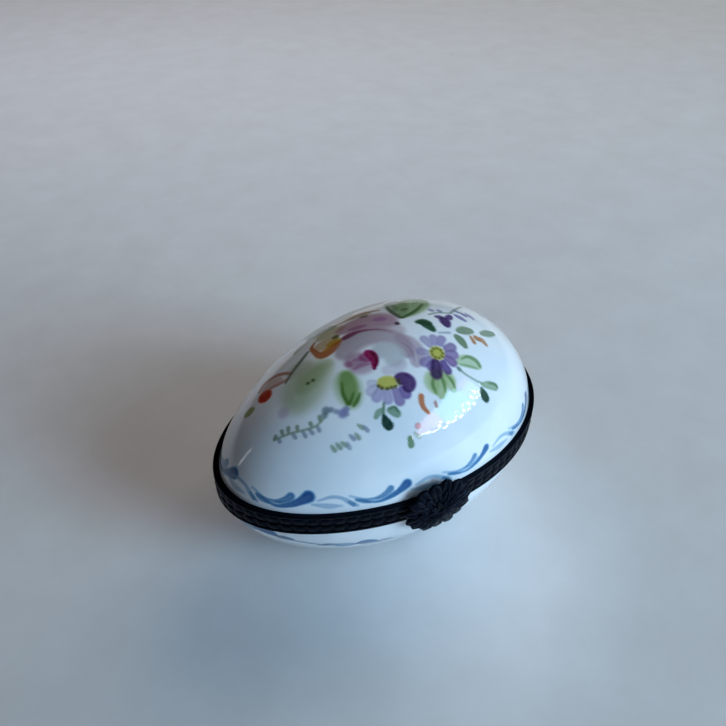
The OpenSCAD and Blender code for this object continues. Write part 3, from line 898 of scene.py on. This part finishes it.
def paintGreens(canvas):
    # a light fan of leaves between the daisies, then loose sprigs over the front
    stroke = canvas.stroke
    for points, half, hexColour in (
            ([(3.2, 60.5), (1.9, 57), (1.4, 52)], 1.35, "#b9cb98"),
            ([(4.6, 58.5), (5, 54), (4.8, 48.6)], 1.1, "#b3c793"),
            ([(3.8, 60), (2.9, 55), (2.2, 48.6)], 1.5, "#a9bd84")):
        stroke(points, [half * 0.5, half, half * 0.35], hexColour, 0.92, 0.4, 0.2)
    for points in (
            [(3.9, 58), (3.7, 54), (3.2, 50)], [(4.9, 57), (5.3, 53.5), (5.2, 49.4)],
            [(2.8, 59), (1.7, 55.5), (1.5, 51)]):
        stroke(points, [0.12, 0.3, 0.12], "#6b8c4e", 0.8, 0.6, 0)
    stroke([(8.2, 59.6), (10.2, 58.6), (12.3, 53)], [0.4, 1.15, 0.45], "#b5cda2", 0.92, 0.35)
    stroke([(9.4, 60.4), (11, 60.2), (12.2, 57), (12.4, 53)],
           [0.12, 0.3, 0.4, 0.35], "#7c9c6c", 0.85, 0.5, 0)
    stroke([(8.5, 58.4), (10, 56), (11.6, 53)], [0.12, 0.26, 0.2], "#8fac80", 0.7, 0.6, 0)
    stroke([(7.8, 57.3), (8.4, 53.7), (9.7, 49.1), (11, 45.7)],
           [0.24, 0.2, 0.2, 0.25], "#8ba08c", 0.75, 0.6, 0)
    stroke([(7.7, 57.8), (8, 55.6)], [0.34, 0.36], "#6f8a84", 0.85)
    stroke([(10.7, 45.7), (12.4, 43.6), (14, 40.5)], [0.3, 0.72, 0.6], "#93aa84", 0.95, 0.3)
    stroke([(12.4, 44.8), (13.8, 42.6), (14.2, 40.2)], [0.1, 0.26, 0.2], "#6c8760", 0.8, 0.5, 0)
    stroke([(10.3, 44.4), (10.3, 41), (10.7, 37.6)], [0.2, 0.8, 0.6], "#2a4736", 1, 0.25, 0.1)
    stroke([(-1, 54), (-1.5, 51.5), (-1.7, 48.5), (-1.2, 44.8)],
           [0.46, 0.46, 0.38, 0.25], "#c8663e", 0.95, 0.35)
    stroke([(0.7, 48.6), (0.5, 45.6)], [0.3, 0.32], "#b98078", 0.9, 0.3)
    canvas.dot(-3.9, 42.2, 0.5, "#dd9a9a", 0.9, 0.4)
    stroke([(-7.2, 58.5), (-8, 55), (-8.3, 53)], [0.2, 0.2, 0.2], "#5e7d60", 0.85, 0.4, 0)
    stroke([(-8.3, 53.4), (-8.4, 49.5), (-8.1, 46.4)], [0.2, 0.75, 0.72], "#1a3a30", 1, 0.22, 0.05)
    stroke([(-7.8, 55.8), (-8.8, 55.4), (-9.7, 53.6)], [0.25, 0.5, 0.3], "#84a083", 0.92, 0.3)
    petal(canvas, -7.3, 54.6, -50, 0, 2.1, 0.62, "#84a084", 0.95, 0.15)
    stroke([(-7.1, 54.9), (-6.1, 54.2), (-5.8, 51.4)], [0.12, 0.22, 0.12], "#4f7256", 0.85, 0.4, 0)
    stroke([(-5.8, 39.4), (-6.2, 34.4)], [0.42, 0.55], "#6a8860", 0.97, 0.3)
    stroke([(-4.9, 40.4), (-4.2, 36.8)], [0.25, 0.4], "#c0c8b0", 0.8, 0.4)


def paintGarland(canvas):
    # the trailing end of the spray: a red bud on a looped stem, and a string of small leaves
    stroke = canvas.stroke
    stroke([(-21.6, 109.8), (-20.9, 107.5), (-21.2, 105.2)], [0.9, 1.3, 0.9], "#b82a14", 1, 0.25, 0.1)
    stroke([(-20.6, 112), (-19, 111.5), (-17.4, 107)], [0.7, 1.1, 0.6], "#d3a396", 0.7, 0.6)
    stroke([(-21, 117), (-19.4, 119), (-17.6, 115), (-16.4, 109), (-15.8, 104)],
           [0.3, 0.45, 0.4, 0.34, 0.25], "#a2614d", 0.8, 0.5)
    stroke([(-19.6, 109), (-18.2, 105), (-16.6, 102)], [0.25, 0.34, 0.25], "#b9796a", 0.8, 0.5)
    stroke([(-24.8, 114), (-24, 111.5), (-23.4, 108.8)], [0.5, 0.85, 0.3], "#96995e", 0.95, 0.3)
    stroke([(-21.3, 83.6), (-20.2, 86)], [0.8, 0.95], "#cfb9cb", 0.7, 0.7)
    sprig(canvas, [(-24.2, 74), (-21.8, 70.5), (-20.4, 68), (-18.4, 65.3), (-16.9, 66), (-15.6, 68.5)],
          0.17, "#91a185", 0.8)
    for x, turn, angle, length in (
            (-24.1, 74, 30, 0.6), (-23.5, 73, -95, 0.7), (-22.7, 72, 80, 0.9), (-22, 71, 60, 1),
            (-21.5, 70.2, -85, 1.1), (-20.7, 68.8, 65, 0.8), (-20.1, 67.6, -90, 1.2),
            (-19.2, 66.4, -80, 1.1), (-18.6, 65.8, 85, 0.8), (-17.9, 65.2, -95, 1), (-17.2, 65.8, 70, 0.9)):
        hexColour = "#7d8f75" if angle > 0 else "#929aa6"
        petal(canvas, x, turn, angle, 0.05, length * 1.1, 0.33, hexColour, 0.72, 0)
    for x, turn, radius, hexColour in (
            (-16.2, 67.6, 0.5, "#8b9ba0"), (-15.6, 69.4, 0.6, "#76898f"), (-14.9, 68.2, 0.45, "#8a96a4"),
            (-14.4, 66, 0.4, "#9a9cb4"), (-13.7, 63.4, 0.7, "#8080ae"), (-12.9, 64.4, 0.5, "#8c8ab4"),
            (-13.2, 62, 0.35, "#a0a0b8")):
        canvas.dot(x, turn, radius, hexColour, 0.85, 0.6)
    for x, turn, angle, hexColour in (
            (-17.5, 51.8, -80, "#93a58c"), (-16.7, 51.6, -75, "#8ea08a"), (-16, 51, -60, "#93a58c"),
            (-14.4, 52.4, -70, "#9a9db2"), (-13.5, 51.8, -80, "#93a090"), (-12.6, 55, -60, "#93a58c"),
            (-11.9, 53.2, -75, "#9a9db2"), (-15.2, 49.6, -90, "#a9aec0")):
        petal(canvas, x, turn, angle, 0, 1.25, 0.36, hexColour, 0.78, 0)


def paintBack(canvas):
    # the side by the hinge has a lighter spray of its own
    plum, violet, lilac = "#4b2f58", "#66508c", "#9a90c0"
    petals = ((10, lilac), (60, violet), (105, lilac), (150, plum), (200, violet), (250, lilac),
              (305, violet))
    for x, turn, first in ((10, 138, 0), (-10, 139, 25)):
        daisy(canvas, x, turn, first, petals)
        for angle in (-20, 80, 170):
            leaf(canvas, *nearby(x, turn, *circlePoint(2.6, angle)), angle, 4, 1, "#a3bd8b", "#5f8250")
    sprig(canvas, [(-7, 140), (-3, 144), (1.5, 145), (6, 141)], 0.17, "#7a9276", 0.8)
    for k in range(9):
        x = -6 + 1.4 * k
        turn = 140.5 + 4.5 * math.sin((x + 7) / 13 * math.pi)
        petal(canvas, x, turn, 60 + 50 * (-1) ** k, 0.1, 1.3, 0.36, "#67855f", 0.85, 0.1)
    canvas.stroke([(-0.8, 137), (1, 134.5), (2.4, 137)], [0.5, 0.9, 0.5], "#e0b94e", 0.9, 0.35)
    canvas.stroke([(-1.2, 138), (-0.6, 134), (1.4, 132.5), (3, 135)],
                  [0.2, 0.4, 0.45, 0.2], "#bb5f22", 0.9, 0.4)
    for x, turn in ((17.5, 134), (19, 130), (-17, 137), (-18.6, 133)):
        canvas.dot(x, turn, 0.55, "#8080ae", 0.85, 0.5)
        petal(canvas, x, turn, 200, 0.4, 1.4, 0.4, "#74886b", 0.85, 0)


border = {
    "repeats": 10,
    "lidStart": -9.3,  # millimetres along the rim from the middle of the front
    "baseStart": -16.6,
    "sizes": (0.55, 0.75, 0.8, 0.85, 0.8, 0.85, 0.8, 0.95, 1, 0.76),
    "shifts": (0, 0, 0, 0, 0, 0, 0, 2.4, 0, 0),
    "baseWeights": (1, 0.85, 0.95),
    "deep": "#0b3f7c",
    "mid": "#3a6f9f",
    "pale": "#94b5cf",
    "ink": "#3d5a7c",
}
rimTurns, rimLengths = np.append(bandTurns, 2 * math.pi), np.linspace(0, bandLength, len(bandTurns) + 1)
frontMiddle = float(np.interp(1.5 * math.pi, rimTurns, rimLengths))


def rimPlace(run, up, upper):
    # run is along the rim from the middle of the front, up is the distance from the band's edge
    t = np.interp((frontMiddle + run) % bandLength, rimLengths, rimTurns)
    z = splitZ + (1 if upper else -1) * (band["seam"] + band["height"] + up)
    x, y, z = outlinePoint(np.array(t), 0, z, True)
    return float(x), math.degrees(math.atan2(z - axisZ, -y))


def paintScroll(canvas, start, size):
    # one repeat: a pair of commas whose tails cross, and a paler curl that leads into the next pair
    def run(*points):
        return [rimPlace(start + a, b, True) for a, b in points]
    weight = 0.66 + 0.34 * size
    pale, mid = border["pale"], border["mid"]
    for points, widths, tone, share, soft in (
            (((0.6, 1.8), (3.6, 1.4), (6, 1.3)), [0.15, 0.48, 0.12], pale, 0.85, 0.45),
            (((1.5, 2.4), (3.7, 3), (5.6, 2.7), (7.3, 1.7), (8.8, 0.9)), [0.12, 0.28, 0.28, 0.42, 0.25],
             pale, 1, 0.45),
            (((6.9, 2), (8.2, 1)), [0.2, 0.42], mid, 0.7, 0.4),
            (((8, 2.2), (9.4, 1.7), (10.8, 1.2)), [0.2, 0.5 * size, 0.15], mid, 0.7, 0.4)):
        canvas.stroke(run(*points), widths, tone, share * weight, soft)
    comma(canvas, run((14.2, 3), (13.4, 2.4), (11.8, 1.8), (9.6, 2), (7, 2.9)),
          0.3 + 0.34 * size, mid, weight)
    comma(canvas, run((17.2, 3.1), (16.2, 2.4), (14.4, 1.5), (11.8, 1.1), (8.4, 2)),
          0.26 + 0.72 * size, border["deep"], weight)
    canvas.stroke(run((11.8, 1.7), (13.6, 1.8), (15, 2.4)), [0.15, 0.34 * size, 0.1],
                  mid, 0.6 * weight, 0.4)


def paintBaseScroll(canvas, start, weight):
    # a thin line with a leaf on it, keeping halfway down the bowl and close under the band at the tips
    for points, widths, tone, share, soft in (
            (((-14.2, 0.4), (-11.6, 0.2), (-8.4, 0.5)), [0.2, 0.28, 0.3], "ink", 0.5, 0.5),
            (((-9, 0.9), (-7.4, 0.4), (-6, 0)), [0.25, 0.65, 0.3], "ink", 0.85, 0.45),
            (((-7, 0.1), (-4.4, 0.5), (-1.8, 0)), [0.3, 0.9, 0.3], "mid", 0.75, 0.5),
            (((-2.2, 0), (-0.7, -0.4), (0.7, -0.2), (2, 0.3)), [0.3, 1, 0.85, 0.2], "deep", 0.95, 0.4),
            (((1.4, 0.4), (2.9, 0), (4.6, -0.3)), [0.2, 0.65, 0.2], "ink", 0.85, 0.45)):
        route = []
        for a, b in points:
            x, _ = rimPlace(start + a, 0.5, False)
            level = max(1.7, float(eggRadius(x)) / 2 - 2.3)
            route.append(rimPlace(start + a, level + b, False))
        canvas.stroke(route, widths, border[tone], share * weight, soft)


def paintLid(canvas):
    for paint in (paintBigLeaves, paintYellow, paintRose, paintGreens, paintDaisies, paintFlorets,
                  paintGarland, paintBack):
        paint(canvas)
    for k in range(border["repeats"]):
        start = border["lidStart"] + k * bandLength / border["repeats"] + border["shifts"][k]
        paintScroll(canvas, start, border["sizes"][k])


def paintBase(canvas):
    for k in range(border["repeats"]):
        start = border["baseStart"] + k * bandLength / border["repeats"]
        paintBaseScroll(canvas, start, border["baseWeights"][k % 3])


def makeShells():
    makeShell("lidPorcelain", lidLow[2], egg["lidWall"], "lid", paintLid)
    base = makeShell("basePorcelain", shellHigh[2], egg["baseWall"], "base", paintBase)
    base.data.materials.append(bareBisque())
    for face in base.data.polygons:
        if face.center.z < shell["footTop"] * mm and face.normal.z < -0.9:
            face.material_index = 1


def dressCadNodes():
    # small fittings keep their CAD shape
    for node in ("base_knuckle_left", "base_knuckle_middle", "base_knuckle_right", "lid_knuckle_left",
                 "lid_knuckle_right", "hinge_pin", "clasp_catch", "clasp_bracket", "clasp_tongue"):
        for slot in frame["nodes"][node].material_slots:
            slot.material = blackenedBrass("hinge pin" if node == "hinge_pin" else "bands")


def makeTable():
    # a pale matt table top, a trace of mottling so that it isn't a flat tone
    half = 1600
    corners = [(-half, -half, 0), (half, -half, 0), (half, half, 0), (-half, half, 0)]
    table = addMesh("tableTop", corners, [(0, 1, 2, 3)], False)
    material, tree, where = newMaterial("pale table top")
    mottle = addNode(tree, "TexNoise", blotches(14, 4, 0.6), Vector=where)
    tone = addNode(tree, "ValToRGB", {"stops": [(0.3, "#d4d1cf"), (0.7, "#dbd9d8")]}, Fac=mottle)
    table.data.materials.append(finished(material, {"Roughness": 0.62}, Base_Color=tone))


def addArea(name, azimuth, elevation, distance, width, height, power, hexColour, aim, mirrored=True):
    # azimuth is measured from +X towards +Y; distances and sizes are in metres
    e = math.radians(elevation)
    direction = Vector((*(math.cos(e) * v for v in circlePoint(1, azimuth)), math.sin(e)))
    light = bpy.data.lights.new(name, "AREA")
    light.shape = "RECTANGLE"
    light.size, light.size_y = width, height
    light.energy = power
    light.color = linearColour(hexColour)[:3]
    lamp = bpy.data.objects.new(name, light)
    lamp.location = Vector(aim) + direction * distance
    lamp.rotation_euler = direction.to_track_quat("Z", "Y").to_euler()
    lamp.visible_glossy = mirrored
    bpy.context.scene.collection.objects.link(lamp)
    return lamp


window = {
    "distance": 0.8,
    "azimuths": (-74, -64, -54),
    "rows": ((15.5, 1), (25, 0.85), (34.5, 0.4)),  # elevation, share of the light
    "pane": (0.132, 0.128),
    "power": 1.1,
    "tints": ("#c9d2ff", "#a8e2f4", "#b9e0ff",
              "#b4d8ff", "#a6e6f0", "#c2d6ff",
              "#ccd2f6", "#b0e0ec", "#b8dcff"),
    # what the glaze mirrors: azimuth, elevation, width, height in degrees, radiance, tint
    "mirrored": ((-76.5, 29, 6.5, 9.5, 5, "#ffb9c4"), (-69.5, 29.5, 7.5, 12.5, 5.6, "#f4c4e0"),
                 (-60, 28.5, 11.5, 18, 6.2, "#9be2e8"), (-49.2, 28.5, 10, 19.5, 6.2, "#97e6ea"),
                 (-38.8, 25.5, 10.5, 14, 4.6, "#b4e4f0"), (-36.5, 34.6, 9, 4.2, 3.2, "#cf9cff")),
    # gaps between the leaves outside, which sparkle
    "glints": ((-79, 23.6, 3, 1.6), (-75.5, 22.6, 2.6, 2.2), (-72, 20.8, 3.4, 1.6), (-69, 22.4, 2, 2.6),
               (-66.8, 18.6, 3.2, 1.8), (-63.8, 20.6, 1.8, 2.6), (-61, 18.2, 3, 1.6), (-58.4, 20.4, 1.6, 2.2),
               (-55.8, 17.9, 3, 1.8), (-52.6, 19.6, 1.8, 2.8), (-49.8, 18, 2.6, 1.6), (-47.2, 21.2, 1.6, 3),
               (-45, 17.8, 2, 2), (-43, 22.6, 1.6, 3.4), (-40.6, 19.4, 1.8, 2), (-38.6, 23.8, 1.4, 3.4),
               (-36.6, 20.8, 1.6, 2), (-50.6, 23.8, 2.2, 1), (-56.4, 23.2, 1.2, 1.6), (-67.2, 25, 1.2, 2.4)),
    "glintRadiance": 16,
    "glintTint": "#eefaff",
}


def makeLight():
    # low on the clasp's side, a cool window; its panes are tinted by what stands outside
    aim = (0, 0, axisZ * mm)
    far = window["distance"]
    tints = iter(window["tints"])
    for elevation, share in window["rows"]:
        for azimuth in window["azimuths"]:
            addArea("windowPane", azimuth, elevation, far, *window["pane"],
                    window["power"] * share, next(tints), aim, False)
    # a white wall behind and to the right, light on the far table, and a chink at the back
    addArea("paleWall", 22, 35, 1.2, 1, 0.8, 5, "#fff6e4", aim, False)
    addArea("farLamp", -125, 60, 0.34, 0.5, 0.2, 0.68, "#e2e7f8", (0.1, 0.42, 0), False)
    addArea("chink", 148.6, 13.5, 0.8, 0.042, 0.25, 0.075, "#f2f0f4", aim)
    # the glaze throws some of the window back onto the table in front
    bounce = addArea("glazeBounce", -72, 68, 0.07, 0.04, 0.02, 0.0019, "#c4e2ff", (0.002, -0.028, 0), False)
    bounce.data.spread = math.radians(50)
    bounce.visible_camera = False
    # patches seen only in reflections, sized in degrees as the egg sees them
    views = [("view", *patch) for patch in window["mirrored"]]
    views += [("leafGap", *gap, window["glintRadiance"], window["glintTint"]) for gap in window["glints"]]
    for name, azimuth, elevation, across, high, radiance, tint in views:
        width = far * math.radians(across) * math.cos(math.radians(elevation))
        height = far * math.radians(high)
        power = radiance * math.pi * width * height
        patch = addArea(name, azimuth, elevation, far, width, height, power, tint, aim)
        patch.visible_diffuse = False
    world = bpy.data.worlds.new("room")
    world.use_nodes = True
    back = world.node_tree.nodes["Background"]
    back.inputs["Color"].default_value = linearColour("#a39c96")
    back.inputs["Strength"].default_value = 0.02
    bpy.context.scene.world = world


camera = {
    "azimuth": -35.6,
    "elevation": 39.8,
    "roll": 0.4,
    "distance": 138.6,
    "aimRight": -3,
    "aimUp": 10.7,
    "lens": 36,
}


def makeCamera():
    a, e, r = (math.radians(camera[key]) for key in ("azimuth", "elevation", "roll"))
    back = Vector((math.sin(a) * math.cos(e), -math.cos(a) * math.cos(e), math.sin(e)))
    level = Vector((math.cos(a), math.sin(a), 0))
    steep = back.cross(level)
    right = level * math.cos(r) + steep * math.sin(r)
    up = steep * math.cos(r) - level * math.sin(r)
    data = bpy.data.cameras.new("camera")
    data.sensor_width, data.lens = 36, camera["lens"]
    data.clip_start = 0.005
    view = bpy.data.objects.new("camera", data)
    spot = Vector((0, 0, splitZ)) + back * camera["distance"]
    spot += right * camera["aimRight"] + up * camera["aimUp"]
    view.matrix_world = Matrix.Translation(spot * mm) @ Matrix((right, up, back)).transposed().to_4x4()
    bpy.context.scene.collection.objects.link(view)
    bpy.context.scene.camera = view


makeCamera()
makeTable()
makeLight()
bpy.context.scene.view_settings.view_transform = "Standard"
print("stage set")
makeShells()
print("porcelain painted")
for side in ("lid", "base"):
    makeBand(side)
    makeBeadWire(side)
    makeRimRing(side)
    makeCement(side)
print("mounts made")
makeFlower()
dressCadNodes()
print("clasp and fittings made")
